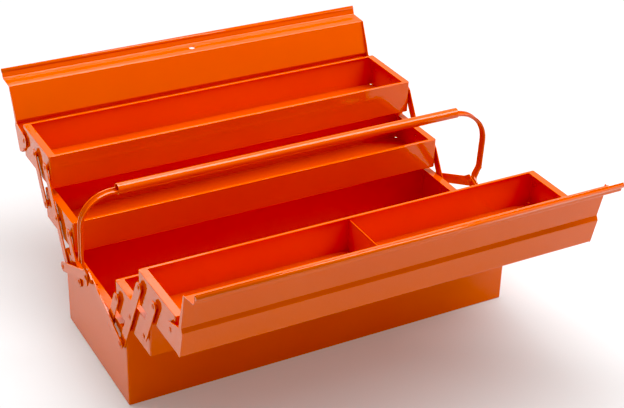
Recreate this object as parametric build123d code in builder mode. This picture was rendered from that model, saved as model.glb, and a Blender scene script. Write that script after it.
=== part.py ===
from build123d import *
import os
from math import sin, cos, radians, degrees, sqrt, atan2, hypot

# Cantilever tool box, shown open.  Millimetres, +Z up.
# X runs along the box, -Y is the front, the origin is the centre of the
# underside of the bottom box.
os.makedirs("parts", exist_ok=True)

# ---------------------------------------------------------------- dimensions
LENGTH = 530.0          # bottom box, outside
WIDTH = 205.0
BASE_H = 105.5
SHEET = 1.0             # sheet thickness of box, trays and lids
TRAY_L = 526.2          # trays, outside
TRAY_D = 102.0
LOW_H = 43.0            # lower tray height
UP_H = 46.0             # upper tray height
CORNER_R = 2.2          # outside radius of the folded corners
END_FLANGE = 9.5        # folded-in flange on top of the end walls
LONG_LIP = 4.0          # narrow lip on top of the long walls
CENTRE_GAP = 0.5        # closed trays stop this far from the centre plane
STACK_LOW = 0.6         # closed gap between box and lower tray
STACK_UP = 0.8          # closed gap between lower and upper tray

# linkage, one bank (y measured outward from the centre plane)
A_Y, A_Z = 93.6, 85.4   # long arm pivot on the box
AB, BC = 60.8, 64.8     # long arm: box to lower tray, lower to upper tray
OPEN_FRONT, OPEN_REAR = 28.0, 30.5      # arms lean outward when open
CLOSED_DEG = 42.5       # arms lean inward when closed
AD = 42.8               # short lower arm pivot, inward of A
BF = 41.3               # short upper arm pivot, outward of B
LID_Y, LID_Z = 85.8, -2.3   # lid pivot, outward of and above C

ARM_W = 13.4            # strap width
ARM_X = 265.4           # inner face of the straps
ARM_T = 1.6
PIN_R = 2.0             # rivet shank
PIN_FIT = 0.07          # running clearance in the straps
HEAD_R = 3.1
DOME = 1.1              # rivet head height
RELIEF_R = 1.8          # holes where the trays' floor and walls meet in the corners

# lid, in its own plane: a runs up the panel from the pivot, b runs outward
LID_X = 266.0           # half length
LEAN_FRONT, LEAN_REAR = 13.0, 21.0
LID_BOTTOM = -15.0
SKIRT_FRONT, SKIRT_REAR = 12.3, 15.0
LID_LOW_B, LID_B = 27.5, 23.5      # sheet centre lines
LIP_B = 45.7
LID_REACH = 93.6
LOCK_HOLE_R = 4.0

# struts and handle
STRUT_W, STRUT_T = 13.4, 1.8
STRUT_X_FRONT, STRUT_X_REAR = 268.6, 270.8
H_Z = 123.5             # handle rivet
FOOT_X, FOOT_T = 273.2, 2.0
RIGHT_OUT = 5.0         # the handle's right foot and struts stand this much further out
BAIL_LEFT, BAIL_RIGHT = 281.2, 286.2    # the bail stands a little off centre
BAIL_W, BAIL_D, BAIL_T = 10.5, 5.0, 1.6
BAIL_RIM = -0.4         # rims of the half-round strip, outward of the sleeve's axis
BAIL_TOP = 238.1        # grip centre with the handle upright
BEND_LEFT, BEND_RIGHT = 43.0, 51.0
HANDLE_TILT = 3.5       # degrees forward of upright
FOOT_TOP, LEG_FOOT = 132.0, 146.0
GRIP_LEFT, GRIP_RIGHT = 232.5, 236.5
GRIP_R, GRIP_IN = 6.6, 5.9

# ------------------------------------------------------------ linkage points
def bank(side):
    """Pivot points of one bank in (y, z); side is -1 front, +1 rear."""
    fo, fc = radians(OPEN_FRONT if side < 0 else OPEN_REAR), radians(CLOSED_DEG)
    out = (side * sin(fo), cos(fo))
    a = (side * A_Y, A_Z)
    b = (a[0] + AB * out[0], a[1] + AB * out[1])
    c = (b[0] + BC * out[0], b[1] + BC * out[1])
    d = (a[0] - side * AD, A_Z)
    e = (d[0] + AB * out[0], d[1] + AB * out[1])
    f = (b[0] + side * BF, b[1])
    g = (f[0] + BC * out[0], f[1] + BC * out[1])
    lid = (c[0] + side * LID_Y, c[1] + LID_Z)
    # closed positions of B and C give the trays' place on the arms
    b_c = (A_Y - AB * sin(fc), A_Z + AB * cos(fc))
    c_c = (A_Y - (AB + BC) * sin(fc), A_Z + (AB + BC) * cos(fc))
    mid = TRAY_D / 2 + CENTRE_GAP
    low_bottom = BASE_H + STACK_LOW
    up_bottom = low_bottom + LOW_H + STACK_UP
    low = (b[0] + side * (mid - b_c[0]), b[1] + low_bottom - b_c[1])
    up = (c[0] + side * (mid - c_c[0]), c[1] + up_bottom - c_c[1])
    return dict(A=a, B=b, C=c, D=d, E=e, F=f, G=g, LID=lid, LOW=low, UP=up)

FRONT, REAR = bank(-1), bank(1)

# ------------------------------------------------------------------ builders
def end_plane(x):
    return Plane(origin=(x, 0, 0), x_dir=(0, 1, 0), z_dir=(1, 0, 0))

def tub(length, depth, height, y, z, holes, flange, lip, relief=True):
    """Open sheet tub with folded-in top edges and rivet holes in both ends."""
    with BuildPart() as t:
        with BuildSketch(Plane.XY.offset(z)):
            with Locations((0, y)):
                RectangleRounded(length, depth, CORNER_R)
        extrude(amount=height)
        fillet(t.edges().group_by(Axis.Z)[0], radius=1.4)
        with BuildSketch(Plane.XY.offset(z + SHEET)):
            with Locations((0, y)):
                RectangleRounded(length - 2 * SHEET, depth - 2 * SHEET, CORNER_R - SHEET)
        extrude(amount=height - 2 * SHEET, mode=Mode.SUBTRACT)
        with BuildSketch(Plane.XY.offset(z + height - SHEET)):
            with Locations((0, y)):
                RectangleRounded(length - 2 * flange, depth - 2 * lip, 1.5)
        extrude(amount=SHEET, mode=Mode.SUBTRACT)
        fillet(t.edges().group_by(Axis.Z)[-1].filter_by(
            lambda e: e.length > 1.0 and (
                abs(abs(e.center().X) - length / 2) < CORNER_R
                or abs(abs(e.center().Y - y) - depth / 2) < CORNER_R)), radius=0.7)
        with BuildSketch(end_plane(-length / 2 - 1)):
            with Locations(*holes):
                Circle(PIN_R + 0.02)
        extrude(amount=SHEET + 2, mode=Mode.SUBTRACT)
        with BuildSketch(end_plane(length / 2 - SHEET - 1)):
            with Locations(*holes):
                Circle(PIN_R + 0.02)
        extrude(amount=SHEET + 2, mode=Mode.SUBTRACT)
        if relief:
            with BuildSketch(Plane.XY.offset(z - 1)):
                with Locations((0, y)):
                    with GridLocations(length - 4.8, depth - 4.8, 2, 2):
                        Circle(RELIEF_R)
            extrude(amount=SHEET + 1.5, mode=Mode.SUBTRACT)
    return t

def strap(p, q, holes, side_x):
    """Flat round-ended strap from p to q on one end of the box."""
    x0 = ARM_X if side_x > 0 else -ARM_X - ARM_T
    mid = ((p[0] + q[0]) / 2, (p[1] + q[1]) / 2)
    span = hypot(q[0] - p[0], q[1] - p[1])
    turn = degrees(atan2(q[1] - p[1], q[0] - p[0]))
    with BuildPart() as s:
        with BuildSketch(end_plane(x0)):
            with Locations(mid):
                SlotCenterToCenter(span, ARM_W, rotation=turn)
            with Locations(*holes):
                Circle(PIN_R + PIN_FIT, mode=Mode.SUBTRACT)
        extrude(amount=ARM_T)
        chamfer(s.edges().filter_by(lambda e: e.length > 20), length=0.3)
    return s

def rivets(items):
    """items: (point, side_x, steps); one solid per rivet."""
    with BuildPart() as r:
        for at, side_x, steps in items:
            with BuildSketch(Plane(origin=(0, at[0], at[1]), x_dir=(side_x, 0, 0),
                                   z_dir=(0, -side_x, 0))):
                with BuildLine():
                    x0 = steps[0][0]
                    x1 = steps[-1][0]
                    xl, rl = steps[-2]
                    rise = x1 - xl
                    back = (rl ** 2 - rise ** 2) / (2 * rise)
                    ball = rise + back
                    Polyline(*([(x0, 0)] + list(steps[:-1])))
                    ThreePointArc((xl, rl), (xl - back + sqrt(ball ** 2 - rl ** 2 / 4), rl / 2),
                                  (x1, 0))
                    Line((x1, 0), (x0, 0))
                make_face()
            revolve(axis=Axis((0, at[0], at[1]), (side_x, 0, 0)))
    return r

# rivet shapes, as (x, radius) steps along the axis
def tray_rivet(wall, inner, top, head=HEAD_R):
    """Rivet through an end wall with a shoulder under the moving strap or ear."""
    return [(wall - 2.2, 2.2), (wall - 1.8, 2.9), (wall - 1.02, 2.9), (wall - 1.02, PIN_R),
            (wall + 0.02, PIN_R), (wall + 0.02, 4.2), (inner - 0.1, 4.2), (inner - 0.1, PIN_R),
            (top + 0.1, PIN_R), (top + 0.1, head), (top + 0.4, head), (top + 0.1 + DOME, 0)]

def lid_plane_point(bank_points, side, lean, a, b):
    py, pz = bank_points["LID"]
    t = radians(lean)
    return (py + side * (a * sin(t) + b * cos(t)), pz + a * cos(t) - b * sin(t))

def lid(points, side, lean, skirt):
    """Folded lid: skirt, low strip, joggle, panel, raised lip, two end ears."""
    def P(a, b):
        return lid_plane_point(points, side, lean, a, b)
    line = [(LID_BOTTOM, skirt), (LID_BOTTOM, LID_LOW_B), (20.5, LID_LOW_B), (25.0, LID_B),
            (71.5, LID_B), (81.0, LIP_B), (LID_REACH, LIP_B)]
    ear = [(-14.9, 27.4), (-14.9, 16.0), (-12.0, 8.5), (-7.2, 2.0), (9.6, -2.0),
           (21.5, 18.7), (37.0, 18.6), (71.3, 20.9), (71.3, 23.4), (25.0, 23.4), (20.5, 27.4)]
    with BuildPart() as p:
        with BuildSketch(end_plane(-LID_X)):
            with BuildLine():
                FilletPolyline(*[P(a, b) for a, b in line], radius=2.6)
                offset(amount=SHEET / 2, side=Side.BOTH)
            make_face()
        extrude(amount=2 * LID_X)
        for x0 in (-LID_X, LID_X - SHEET):
            with BuildSketch(end_plane(x0)):
                with BuildLine():
                    Polyline(*[P(a, b) for a, b in ear], close=True)
                make_face()
                with Locations(points["LID"]):
                    Circle(9.4)
            extrude(amount=SHEET)
        with BuildSketch(end_plane(-LID_X - 1)):
            with Locations(points["LID"]):
                Circle(PIN_R + PIN_FIT)
        extrude(amount=2 * LID_X + 2, mode=Mode.SUBTRACT)
        # hole for a padlock's shackle through the rising wall of the lip
        ca, cb = 76.3, 34.6
        cy, cz = P(ca, cb)
        na = P(ca + 22.2, cb - 9.5)
        n = (0, na[0] - cy, na[1] - cz)
        with BuildSketch(Plane(origin=(0, cy, cz), x_dir=(1, 0, 0), z_dir=n).offset(-3)):
            Circle(LOCK_HOLE_R)
        extrude(amount=6, mode=Mode.SUBTRACT)
    return p

# ---------------------------------------------------------------- bottom box
base_holes = [FRONT["A"], FRONT["D"], REAR["A"], REAR["D"]]
with BuildPart() as base_box:
    add(tub(LENGTH, WIDTH, BASE_H, 0, 0, base_holes, 10.5, 5.0, relief=False).part)
    # small holes in the end flanges below the handle feet
    with BuildSketch(Plane.XY.offset(BASE_H - 2)):
        with Locations((-259.5, 6), (259.5, 6)):
            Circle(1.8)
    extrude(amount=3, mode=Mode.SUBTRACT)
base_box.part.label = "base_box"
export_step(base_box.part, "parts/base_box.step")

# -------------------------------------------------------------- handle struts
def strut(side, side_x, x_in):
    """Flat strut from the long arm's rivet up to the handle's rivet."""
    p, h = (side * A_Y, A_Z), (0.0, H_Z)
    run = hypot(A_Y, H_Z - A_Z)
    u = ((h[0] - p[0]) / run, (h[1] - p[1]) / run)
    v = (-u[1], u[0]) if side < 0 else (u[1], -u[0])
    hw = STRUT_W / 2
    local = [(0, hw), (run + 7.7, hw), (run + 13.6, -2.0), (run + 10.6, -hw), (0, -hw)]
    pts = [(p[0] + a * u[0] + b * v[0], p[1] + a * u[1] + b * v[1]) for a, b in local]
    x0 = x_in if side_x > 0 else -x_in - STRUT_T
    with BuildPart() as s:
        with BuildSketch(end_plane(x0)):
            with BuildLine():
                Polyline(*pts, close=True)
            make_face()
            with Locations(p):
                Circle(hw)
            with Locations(p, h):
                Circle(PIN_R + 0.02, mode=Mode.SUBTRACT)
        extrude(amount=STRUT_T)
        chamfer(s.edges().filter_by(lambda e: e.length > 60), length=0.3)
    return s

strut_front_left = strut(-1, -1, STRUT_X_FRONT)
strut_front_left.part.label = "strut_front_left"
export_step(strut_front_left.part, "parts/strut_front_left.step")
strut_front_right = strut(-1, 1, STRUT_X_FRONT + RIGHT_OUT)
strut_front_right.part.label = "strut_front_right"
export_step(strut_front_right.part, "parts/strut_front_right.step")
strut_rear_left = strut(1, -1, STRUT_X_REAR)
strut_rear_left.part.label = "strut_rear_left"
export_step(strut_rear_left.part, "parts/strut_rear_left.step")
strut_rear_right = strut(1, 1, STRUT_X_REAR + RIGHT_OUT)
strut_rear_right.part.label = "strut_rear_right"
export_step(strut_rear_right.part, "parts/strut_rear_right.step")

# ------------------------------------------------- rivets held by the bottom box
WALL = LENGTH / 2
def shared_rivet(strut_x):
    """Through the wall, the long arm, a spacer and the strut."""
    top = strut_x + STRUT_T
    return [(WALL - 2.2, 2.2), (WALL - 1.8, 2.9), (WALL - 1.02, 2.9), (WALL - 1.02, PIN_R),
            (WALL + 0.02, PIN_R), (WALL + 0.02, 4.2), (ARM_X - 0.1, 4.2), (ARM_X - 0.1, PIN_R),
            (ARM_X + ARM_T + 0.1, PIN_R), (ARM_X + ARM_T + 0.1, 4.2), (strut_x - 0.02, 4.2),
            (strut_x - 0.02, PIN_R), (top + 0.02, PIN_R), (top + 0.02, 3.5), (top + 0.4, 3.5),
            (top + 1.4, 0)]

long_arm_rivets = rivets(
    [(FRONT["A"], sx, shared_rivet(STRUT_X_FRONT + out)) for sx, out in ((-1, 0.0), (1, RIGHT_OUT))]
    + [(REAR["A"], sx, shared_rivet(STRUT_X_REAR + out)) for sx, out in ((-1, 0.0), (1, RIGHT_OUT))])
long_arm_rivets.part.label = "long_arm_rivets"
export_step(long_arm_rivets.part, "parts/long_arm_rivets.step")

short_arm_rivets = rivets(
    [(b["D"], sx, tray_rivet(WALL, ARM_X, ARM_X + ARM_T)) for b in (FRONT, REAR) for sx in (-1, 1)])
short_arm_rivets.part.label = "short_arm_rivets"
export_step(short_arm_rivets.part, "parts/short_arm_rivets.step")

handle_rivets = rivets(
    [((0.0, H_Z), sx, [(STRUT_X_FRONT + out - 1.2, 2.6), (STRUT_X_FRONT + out - 0.8, 3.8),
                       (STRUT_X_FRONT + out - 0.02, 3.8), (STRUT_X_FRONT + out - 0.02, PIN_R),
                       (FOOT_X + out + FOOT_T + 0.1, PIN_R), (FOOT_X + out + FOOT_T + 0.1, 3.7),
                       (FOOT_X + out + FOOT_T + 0.5, 3.7), (FOOT_X + out + FOOT_T + 1.6, 0)])
     for sx, out in ((-1, 0.0), (1, RIGHT_OUT))])
handle_rivets.part.label = "handle_rivets"
export_step(handle_rivets.part, "parts/handle_rivets.step")

# --------------------------------------------------------------------- handle
def half_round(outer_only):
    """Section of the strip: half-round, hollow side outward (local +y)."""
    swell = 0.35 if outer_only else 0.0     # the forged end is a little fuller
    w, rim, back = BAIL_W / 2 + swell, BAIL_RIM + swell, BAIL_RIM - BAIL_D - swell
    rad = (w ** 2 + (rim - back) ** 2) / (2 * (rim - back))
    cy = back + rad
    start = degrees(atan2(rim - cy, w))
    at = lambda t: (rad * cos(radians(t)), cy + rad * sin(radians(t)))
    stops = [start, -58.0, -122.0, -180.0 - start]
    for t0, t1 in zip(stops, stops[1:]):
        ThreePointArc(at(t0), at((t0 + t1) / 2), at(t1))
    if outer_only:
        Line(at(stops[-1]), at(stops[0]))
    else:
        Line(at(stops[-1]), (-w + BAIL_T, rim))
        ThreePointArc((-w + BAIL_T, rim), (0, back + BAIL_T), (w - BAIL_T, rim))
        Line((w - BAIL_T, rim), at(stops[0]))

with BuildPart() as bail_upright:
    with BuildLine() as bail_path:
        l, r, top = -BAIL_LEFT, BAIL_RIGHT, BAIL_TOP
        bl, br, k = BEND_LEFT, BEND_RIGHT, sqrt(0.5)
        Line((l, 0, LEG_FOOT), (l, 0, top - bl))
        ThreePointArc((l, 0, top - bl), (l + bl * (1 - k), 0, top - bl * (1 - k)), (l + bl, 0, top))
        Line((l + bl, 0, top), (r - br, 0, top))
        ThreePointArc((r - br, 0, top), (r - br * (1 - k), 0, top - br * (1 - k)), (r, 0, top - br))
        Line((r, 0, top - br), (r, 0, LEG_FOOT))
    with BuildSketch(Plane(origin=(-BAIL_LEFT, 0, LEG_FOOT), x_dir=(0, 1, 0), z_dir=(0, 0, 1))):
        with BuildLine():
            half_round(False)
        make_face()
    sweep(path=bail_path.wires()[0])
    # the strip is flattened and kinked inward into a foot at each end
    for sx, leg, foot_x in ((-1, BAIL_LEFT, FOOT_X), (1, BAIL_RIGHT, FOOT_X + RIGHT_OUT)):
        with BuildSketch(Plane(origin=(sx * leg, 0, LEG_FOOT + 0.12), x_dir=(0, -sx, 0),
                               z_dir=(0, 0, 1))) as upper_end:
            with BuildLine():
                half_round(True)
            make_face()
        with BuildSketch(Plane(origin=(sx * (foot_x + FOOT_T / 2), 0, FOOT_TOP),
                               x_dir=(0, -sx, 0), z_dir=(0, 0, 1))) as lower_end:
            Rectangle(BAIL_W + 0.3, FOOT_T + 0.3)
        loft()
        with BuildSketch(end_plane(foot_x if sx > 0 else -foot_x - FOOT_T)):
            with Locations((0, (FOOT_TOP + 0.1 + 117.0) / 2)):
                Rectangle(BAIL_W, FOOT_TOP + 0.1 - 117.0)
            with Locations((0, 117.0)):
                Circle(BAIL_W / 2)
            with Locations((0, H_Z)):
                Circle(PIN_R + PIN_FIT, mode=Mode.SUBTRACT)
        extrude(amount=FOOT_T)

HANDLE_AXIS = Axis((0, 0, H_Z), (1, 0, 0))
with BuildPart() as handle_bail:
    add(bail_upright.part.rotate(HANDLE_AXIS, HANDLE_TILT))
handle_bail.part.label = "handle_bail"
export_step(handle_bail.part, "parts/handle_bail.step")

with BuildPart() as grip_upright:
    with BuildSketch(Plane(origin=(-GRIP_LEFT, 0, BAIL_TOP), x_dir=(0, 1, 0), z_dir=(1, 0, 0))):
        Circle(GRIP_R)
        Circle(GRIP_IN, mode=Mode.SUBTRACT)
        with Locations((0, -GRIP_R)):
            Rectangle(4.0, 4.0, mode=Mode.SUBTRACT)
    extrude(amount=GRIP_LEFT + GRIP_RIGHT)
with BuildPart() as handle_grip:
    add(grip_upright.part.rotate(HANDLE_AXIS, HANDLE_TILT))
handle_grip.part.label = "handle_grip"
export_step(handle_grip.part, "parts/handle_grip.step")

# ------------------------------------------------------------------ long arms
front_long_arm_left = strap(FRONT["A"], FRONT["C"], [FRONT[k] for k in "ABC"], -1)
front_long_arm_left.part.label = "front_long_arm_left"
export_step(front_long_arm_left.part, "parts/front_long_arm_left.step")
front_long_arm_right = strap(FRONT["A"], FRONT["C"], [FRONT[k] for k in "ABC"], 1)
front_long_arm_right.part.label = "front_long_arm_right"
export_step(front_long_arm_right.part, "parts/front_long_arm_right.step")
rear_long_arm_left = strap(REAR["A"], REAR["C"], [REAR[k] for k in "ABC"], -1)
rear_long_arm_left.part.label = "rear_long_arm_left"
export_step(rear_long_arm_left.part, "parts/rear_long_arm_left.step")
rear_long_arm_right = strap(REAR["A"], REAR["C"], [REAR[k] for k in "ABC"], 1)
rear_long_arm_right.part.label = "rear_long_arm_right"
export_step(rear_long_arm_right.part, "parts/rear_long_arm_right.step")

# ----------------------------------------------------------------- short arms
front_low_arm_left = strap(FRONT["D"], FRONT["E"], [FRONT[k] for k in "DE"], -1)
front_low_arm_left.part.label = "front_low_arm_left"
export_step(front_low_arm_left.part, "parts/front_low_arm_left.step")
front_low_arm_right = strap(FRONT["D"], FRONT["E"], [FRONT[k] for k in "DE"], 1)
front_low_arm_right.part.label = "front_low_arm_right"
export_step(front_low_arm_right.part, "parts/front_low_arm_right.step")
rear_low_arm_left = strap(REAR["D"], REAR["E"], [REAR[k] for k in "DE"], -1)
rear_low_arm_left.part.label = "rear_low_arm_left"
export_step(rear_low_arm_left.part, "parts/rear_low_arm_left.step")
rear_low_arm_right = strap(REAR["D"], REAR["E"], [REAR[k] for k in "DE"], 1)
rear_low_arm_right.part.label = "rear_low_arm_right"
export_step(rear_low_arm_right.part, "parts/rear_low_arm_right.step")

front_top_arm_left = strap(FRONT["F"], FRONT["G"], [FRONT[k] for k in "FG"], -1)
front_top_arm_left.part.label = "front_top_arm_left"
export_step(front_top_arm_left.part, "parts/front_top_arm_left.step")
front_top_arm_right = strap(FRONT["F"], FRONT["G"], [FRONT[k] for k in "FG"], 1)
front_top_arm_right.part.label = "front_top_arm_right"
export_step(front_top_arm_right.part, "parts/front_top_arm_right.step")
rear_top_arm_left = strap(REAR["F"], REAR["G"], [REAR[k] for k in "FG"], -1)
rear_top_arm_left.part.label = "rear_top_arm_left"
export_step(rear_top_arm_left.part, "parts/rear_top_arm_left.step")
rear_top_arm_right = strap(REAR["F"], REAR["G"], [REAR[k] for k in "FG"], 1)
rear_top_arm_right.part.label = "rear_top_arm_right"
export_step(rear_top_arm_right.part, "parts/rear_top_arm_right.step")

# ---------------------------------------------------------------------- trays
TRAY_WALL = TRAY_L / 2

front_lower_tray = tub(TRAY_L, TRAY_D, LOW_H, FRONT["LOW"][0], FRONT["LOW"][1],
                       [FRONT[k] for k in "BEF"], END_FLANGE, LONG_LIP)
front_lower_tray.part.label = "front_lower_tray"
export_step(front_lower_tray.part, "parts/front_lower_tray.step")
rear_lower_tray = tub(TRAY_L, TRAY_D, LOW_H, REAR["LOW"][0], REAR["LOW"][1],
                      [REAR[k] for k in "BEF"], END_FLANGE, LONG_LIP)
rear_lower_tray.part.label = "rear_lower_tray"
export_step(rear_lower_tray.part, "parts/rear_lower_tray.step")

front_upper_tray = tub(TRAY_L, TRAY_D, UP_H, FRONT["UP"][0], FRONT["UP"][1],
                       [FRONT["C"], FRONT["G"], FRONT["LID"]], END_FLANGE, LONG_LIP)
front_upper_tray.part.label = "front_upper_tray"
export_step(front_upper_tray.part, "parts/front_upper_tray.step")
rear_upper_tray = tub(TRAY_L, TRAY_D, UP_H, REAR["UP"][0], REAR["UP"][1],
                      [REAR["C"], REAR["G"], REAR["LID"]], END_FLANGE, LONG_LIP)
rear_upper_tray.part.label = "rear_upper_tray"
export_step(rear_upper_tray.part, "parts/rear_upper_tray.step")

def low_tray_rivets(b):
    return rivets([(b[k], sx, tray_rivet(TRAY_WALL, ARM_X, ARM_X + ARM_T))
                   for k in "BEF" for sx in (-1, 1)])

def up_tray_rivets(b):
    return rivets([(b[k], sx, tray_rivet(TRAY_WALL, ARM_X, ARM_X + ARM_T))
                   for k in "CG" for sx in (-1, 1)]
                  + [(b["LID"], sx, tray_rivet(TRAY_WALL, LID_X - SHEET, LID_X))
                     for sx in (-1, 1)])

front_lower_rivets = low_tray_rivets(FRONT)
front_lower_rivets.part.label = "front_lower_rivets"
export_step(front_lower_rivets.part, "parts/front_lower_rivets.step")
rear_lower_rivets = low_tray_rivets(REAR)
rear_lower_rivets.part.label = "rear_lower_rivets"
export_step(rear_lower_rivets.part, "parts/rear_lower_rivets.step")
front_upper_rivets = up_tray_rivets(FRONT)
front_upper_rivets.part.label = "front_upper_rivets"
export_step(front_upper_rivets.part, "parts/front_upper_rivets.step")
rear_upper_rivets = up_tray_rivets(REAR)
rear_upper_rivets.part.label = "rear_upper_rivets"
export_step(rear_upper_rivets.part, "parts/rear_upper_rivets.step")

# divider across the front upper tray, with a folded foot
with BuildPart() as front_upper_divider:
    dy, dz = FRONT["UP"]
    with BuildSketch(Plane.XY.offset(dz + SHEET + 0.02)):
        with Locations((0, dy)):
            Rectangle(0.9, TRAY_D - 2 * SHEET - 0.6)
    extrude(amount=UP_H - 4.5)
    with BuildSketch(Plane.XY.offset(dz + SHEET + 0.02)):
        with Locations((5.5, dy)):
            Rectangle(11.9, TRAY_D - 2 * SHEET - 6)
    extrude(amount=0.9)
front_upper_divider.part.label = "front_upper_divider"
export_step(front_upper_divider.part, "parts/front_upper_divider.step")

# ----------------------------------------------------------------------- lids
front_lid = lid(FRONT, -1, LEAN_FRONT, SKIRT_FRONT)
front_lid.part.label = "front_lid"
export_step(front_lid.part, "parts/front_lid.step")
rear_lid = lid(REAR, 1, LEAN_REAR, SKIRT_REAR)
rear_lid.part.label = "rear_lid"
export_step(rear_lid.part, "parts/rear_lid.step")
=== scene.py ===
import math
import bpy
import bmesh
from mathutils import Matrix, Vector


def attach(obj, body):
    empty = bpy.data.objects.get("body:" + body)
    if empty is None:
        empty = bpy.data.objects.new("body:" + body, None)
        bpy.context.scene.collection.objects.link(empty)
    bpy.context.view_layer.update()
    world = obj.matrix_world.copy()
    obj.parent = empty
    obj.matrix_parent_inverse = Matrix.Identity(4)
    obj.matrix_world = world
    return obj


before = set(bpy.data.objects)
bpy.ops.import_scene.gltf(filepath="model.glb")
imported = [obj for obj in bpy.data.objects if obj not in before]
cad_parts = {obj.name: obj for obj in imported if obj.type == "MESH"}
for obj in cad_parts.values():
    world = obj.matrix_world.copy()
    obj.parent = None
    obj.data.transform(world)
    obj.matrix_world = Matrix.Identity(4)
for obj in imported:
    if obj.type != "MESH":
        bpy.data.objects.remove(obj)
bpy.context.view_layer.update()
scene = bpy.context.scene

# ------------------------------------------------------------------- camera
CAM_AT = Vector((-0.73344, -1.38231, 1.04879))
CAM_BACK = -Vector((0.42028697, 0.76044988, -0.49505034))
CAM_RIGHT = Vector((0.88161733, -0.47133065, 0.02446001))
CAM_UP = Vector((0.21473179, 0.44672518, 0.86851993))
FOCAL_PX = 1428.605

cam_data = bpy.data.cameras.new("camera")
cam = bpy.data.objects.new("camera", cam_data)
scene.collection.objects.link(cam)
scene.camera = cam
rot = Matrix((
    (CAM_RIGHT.x, CAM_UP.x, CAM_BACK.x),
    (CAM_RIGHT.y, CAM_UP.y, CAM_BACK.y),
    (CAM_RIGHT.z, CAM_UP.z, CAM_BACK.z),
)).to_4x4()
cam.matrix_world = Matrix.Translation(CAM_AT) @ rot
cam_data.sensor_fit = "HORIZONTAL"
cam_data.sensor_width = 36.0
cam_data.lens = FOCAL_PX / 624.0 * 36.0
cam_data.clip_start = 0.05
cam_data.clip_end = 60.0

# -------------------------------------------------------------- node helpers
def new_material(name):
    m = bpy.data.materials.new(name)
    m.use_nodes = True
    nt = m.node_tree
    nt.nodes.clear()
    out = nt.nodes.new("ShaderNodeOutputMaterial")
    bsdf = nt.nodes.new("ShaderNodeBsdfPrincipled")
    nt.links.new(bsdf.outputs["BSDF"], out.inputs["Surface"])
    return m, nt, bsdf


def node(nt, kind, **values):
    n = nt.nodes.new(kind)
    for key, value in values.items():
        setattr(n, key, value)
    return n


def noise(nt, coord, scale, detail=2.0, rough=0.5, stretch=None):
    src = coord
    if stretch is not None:
        mp = nt.nodes.new("ShaderNodeMapping")
        mp.inputs["Scale"].default_value = stretch
        nt.links.new(coord, mp.inputs["Vector"])
        src = mp.outputs["Vector"]
    n = nt.nodes.new("ShaderNodeTexNoise")
    n.inputs["Scale"].default_value = scale
    n.inputs["Detail"].default_value = detail
    n.inputs["Roughness"].default_value = rough
    nt.links.new(src, n.inputs["Vector"])
    return n.outputs["Fac"]


def remap(nt, value, lo, hi, to_lo, to_hi):
    m = nt.nodes.new("ShaderNodeMapRange")
    m.clamp = True
    m.inputs["From Min"].default_value = lo
    m.inputs["From Max"].default_value = hi
    m.inputs["To Min"].default_value = to_lo
    m.inputs["To Max"].default_value = to_hi
    nt.links.new(value, m.inputs["Value"])
    return m.outputs["Result"]


def math_node(nt, op, a, b):
    m = nt.nodes.new("ShaderNodeMath")
    m.operation = op
    for i, v in enumerate((a, b)):
        if isinstance(v, (int, float)):
            m.inputs[i].default_value = v
        else:
            nt.links.new(v, m.inputs[i])
    return m.outputs[0]


def mix_colour(nt, fac, a, b):
    m = nt.nodes.new("ShaderNodeMix")
    m.data_type = "RGBA"
    if isinstance(fac, (int, float)):
        m.inputs[0].default_value = fac
    else:
        nt.links.new(fac, m.inputs[0])
    for sock, v in ((m.inputs[6], a), (m.inputs[7], b)):
        if isinstance(v, tuple):
            sock.default_value = (*v, 1.0)
        else:
            nt.links.new(v, sock)
    return m.outputs[2]


# ------------------------------------------------------------------- paint
def paint(name, deep, light, coat=1.0, worn=0.0, peel=0.35):
    """Glossy stoved enamel on pressed sheet: orange peel, slow waves, faint rub marks."""
    m, nt, bsdf = new_material(name)
    tc = nt.nodes.new("ShaderNodeTexCoord")
    at = tc.outputs["Object"]
    slow = noise(nt, at, 9.0, 3.0)
    fine = noise(nt, at, 160.0, 3.0)
    speck = noise(nt, at, 900.0, 2.0)
    scuff = noise(nt, at, 60.0, 5.0, 0.6, stretch=(0.12, 1.0, 1.0))
    tone = remap(nt, slow, 0.3, 0.7, 0.0, 1.0)
    colour = mix_colour(nt, tone, deep, light)
    nt.links.new(colour, bsdf.inputs["Base Color"])
    # roughness: a glossy film with dull rubbed streaks
    rub = remap(nt, scuff, 0.58, 0.75, 0.0, 0.16)
    r0 = remap(nt, fine, 0.3, 0.7, 0.20, 0.28)
    nt.links.new(math_node(nt, "ADD", r0, rub), bsdf.inputs["Roughness"])
    # bump
    b1 = nt.nodes.new("ShaderNodeBump")
    b1.inputs["Strength"].default_value = peel
    b1.inputs["Distance"].default_value = 0.00025
    nt.links.new(noise(nt, at, 330.0, 1.0), b1.inputs["Height"])
    b2 = nt.nodes.new("ShaderNodeBump")
    b2.inputs["Strength"].default_value = 0.5
    b2.inputs["Distance"].default_value = 0.0012
    nt.links.new(noise(nt, at, 14.0, 1.0), b2.inputs["Height"])
    nt.links.new(b1.outputs["Normal"], b2.inputs["Normal"])
    nt.links.new(b2.outputs["Normal"], bsdf.inputs["Normal"])
    nt.links.new(b2.outputs["Normal"], bsdf.inputs["Coat Normal"])
    bsdf.inputs["Specular IOR Level"].default_value = 0.0
    bsdf.inputs["Coat Weight"].default_value = coat
    bsdf.inputs["Coat Roughness"].default_value = 0.05
    bsdf.inputs["Coat IOR"].default_value = 1.6
    return m


ORANGE = paint("orange_enamel", (0.765, 0.087, 0.0), (0.79, 0.098, 0.0))
HARD = paint("orange_enamel_hardware", (0.75, 0.078, 0.0), (0.77, 0.09, 0.0), peel=0.2)

for name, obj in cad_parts.items():
    obj.data.materials.clear()
    obj.data.materials.append(HARD if "rivets" in name else ORANGE)

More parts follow.
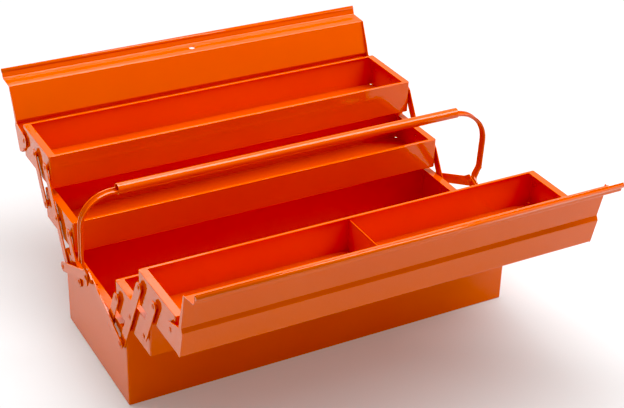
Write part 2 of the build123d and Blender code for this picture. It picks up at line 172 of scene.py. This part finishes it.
# --------------------------------------------------- rolled edges of the lids
def bar(name, section, x0, x1, material, body):
    """Prism along X with the given (y, z) section, metres."""
    b = bmesh.new()
    rings = []
    for x in (x0, x1):
        rings.append([b.verts.new((x, y, z)) for y, z in section])
    n = len(section)
    for i in range(n):
        j = (i + 1) % n
        f = b.faces.new((rings[0][i], rings[0][j], rings[1][j], rings[1][i]))
        f.smooth = True
    b.faces.new(list(reversed(rings[0])))
    b.faces.new(rings[1])
    bmesh.ops.recalc_face_normals(b, faces=b.faces)
    mesh = bpy.data.meshes.new(name)
    b.to_mesh(mesh)
    b.free()
    mesh.materials.append(material)
    o = bpy.data.objects.new(name, mesh)
    scene.collection.objects.link(o)
    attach(o, body)
    return o


def lid_edge(name, side, pivot, lean, body):
    """The free edge is rolled over outward into a bead."""
    t = math.radians(lean)
    a0, b0, r = 0.0908, 0.0470, 0.0028
    section = []
    for i in range(20):
        u = 2 * math.pi * i / 20
        a, bb = a0 + r * math.cos(u), b0 + r * math.sin(u)
        section.append((pivot[0] + side * (a * math.sin(t) + bb * math.cos(t)),
                        pivot[1] + a * math.cos(t) - bb * math.sin(t)))
    return bar(name, section, -0.2657, 0.2657, ORANGE, body)


lid_edge("front_lid_rolled_edge", -1, (-0.238366, 0.193998), 13.0, "front_lid_body")
lid_edge("rear_lid_rolled_edge", 1, (0.243147, 0.191321), 21.0, "rear_lid_body")

# ------------------------------------------------------------------ studio
floor_mat, nt, bsdf = new_material("studio_floor")
tc = nt.nodes.new("ShaderNodeTexCoord")
grain = noise(nt, tc.outputs["Object"], 3.0, 3.0)
shade = mix_colour(nt, grain, (0.60, 0.60, 0.60), (0.63, 0.63, 0.63))
nt.links.new(shade, bsdf.inputs["Base Color"])
bsdf.inputs["Roughness"].default_value = 0.9
bsdf.inputs["Emission Color"].default_value = (1, 1, 1, 1)
bsdf.inputs["Emission Strength"].default_value = 0.14
bsdf.inputs["Specular IOR Level"].default_value = 0.0
bm = bmesh.new()
bmesh.ops.create_grid(bm, x_segments=2, y_segments=2, size=8.0)
me = bpy.data.meshes.new("floor")
bm.to_mesh(me)
bm.free()
floor = bpy.data.objects.new("floor", me)
floor.location = (0, 0, -0.0004)
scene.collection.objects.link(floor)
me.materials.append(floor_mat)


def area(name, at, aim, size, power, size_y=None):
    ld = bpy.data.lights.new(name, "AREA")
    ld.shape = "RECTANGLE"
    ld.size = size
    ld.size_y = size_y or size
    ld.energy = power
    ob = bpy.data.objects.new(name, ld)
    ob.location = at
    ob.rotation_mode = "QUATERNION"
    ob.rotation_quaternion = (Vector(aim) - Vector(at)).to_track_quat("-Z", "Y")
    scene.collection.objects.link(ob)
    return ob


# a long box overhead on the right, a softer one behind
area("key", (0.73, -0.35, 2.3), (0.70, -0.33, 0.0), 0.9, 84.0, 4.6)
area("back", (0.1, 2.1, 2.8), (0, 0, 0.1), 2.0, 20.0)

world = bpy.data.worlds.new("studio")
scene.world = world
world.use_nodes = True
wt = world.node_tree
wt.nodes.clear()
wout = wt.nodes.new("ShaderNodeOutputWorld")
wbg = wt.nodes.new("ShaderNodeBackground")
wt.links.new(wbg.outputs[0], wout.inputs["Surface"])
wtc = wt.nodes.new("ShaderNodeTexCoord")
sep = wt.nodes.new("ShaderNodeSeparateXYZ")
wt.links.new(wtc.outputs["Generated"], sep.inputs[0])
# dark towards the camera side, white behind and to the sides
ramp = remap(wt, sep.outputs["Y"], -0.6, 0.2, 0.48, 0.74)
side = remap(wt, sep.outputs["X"], -0.95, -0.25, 0.45, 1.0)
lit = math_node(wt, "MULTIPLY", ramp, side)
path = wt.nodes.new("ShaderNodeLightPath")
seen = wt.nodes.new("ShaderNodeMix")
seen.data_type = "FLOAT"
wt.links.new(path.outputs["Is Camera Ray"], seen.inputs[0])
wt.links.new(lit, seen.inputs[2])
seen.inputs[3].default_value = 1.0
wbg.inputs["Color"].default_value = (1, 1, 1, 1)
wt.links.new(seen.outputs[0], wbg.inputs["Strength"])

scene.view_settings.view_transform = "Standard"
scene.view_settings.look = "None"
scene.view_settings.exposure = 0.0
scene.view_settings.gamma = 1.0
scene.view_settings.use_curve_mapping = True
scene.view_settings.curve_mapping.black_level = (0.01, 0.018, 0.04)
scene.view_settings.curve_mapping.update()
